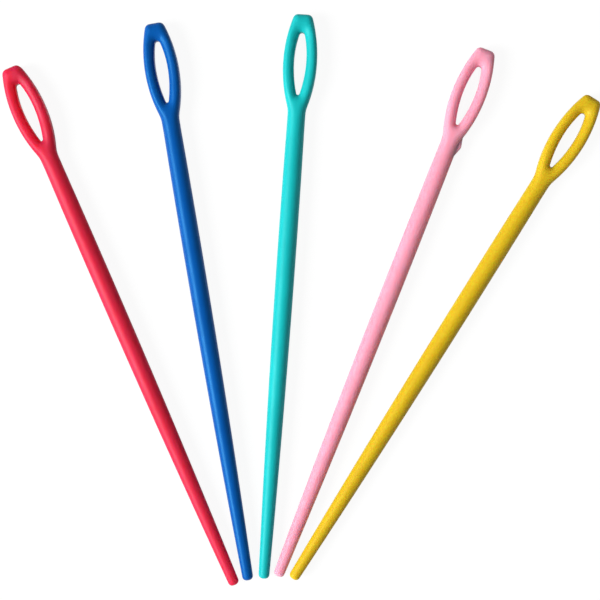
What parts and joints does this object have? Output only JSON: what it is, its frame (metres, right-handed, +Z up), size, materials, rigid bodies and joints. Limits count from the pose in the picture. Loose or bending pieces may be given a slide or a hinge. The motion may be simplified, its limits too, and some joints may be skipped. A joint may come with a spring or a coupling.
{
  "type": "set of plastic yarn needles",
  "caption": "Blunt moulded plastic yarn needles with long looped eyes and tapered round shafts, fanned flat with their tips together.",
  "frame": {"origin": "on the table, under the middle of the box round the whole fan", "axes": "+X across the fan from the red needle to the yellow one, +Y from the tips to the eyes, +Z up from the table"},
  "size_m": [0.0948, 0.091, 0.003],
  "materials": {
    "red_plastic": "glossy injection-moulded crimson plastic",
    "blue_plastic": "glossy injection-moulded blue plastic",
    "teal_plastic": "glossy injection-moulded teal plastic",
    "pink_plastic": "glossy injection-moulded pale pink plastic",
    "yellow_plastic": "glossy injection-moulded yellow plastic"
  },
  "bodies": {
    "teal": {"teal_needle": "teal_plastic"},
    "red": {"red_needle": "red_plastic"},
    "blue": {"blue_needle": "blue_plastic"},
    "pink": {"pink_needle": "pink_plastic"},
    "yellow": {"yellow_needle": "yellow_plastic"}
  },
  "joints": [
    {"name": "red_lift", "type": "slide", "parent": "teal", "child": "red", "axis": [0, 0, 1], "range_m": [0, 0.04]},
    {"name": "blue_lift", "type": "slide", "parent": "teal", "child": "blue", "axis": [0, 0, 1], "range_m": [0, 0.04]},
    {"name": "pink_lift", "type": "slide", "parent": "teal", "child": "pink", "axis": [0, 0, 1], "range_m": [0, 0.04]},
    {"name": "yellow_lift", "type": "slide", "parent": "teal", "child": "yellow", "axis": [0, 0, 1], "range_m": [0, 0.04]}
  ]
}
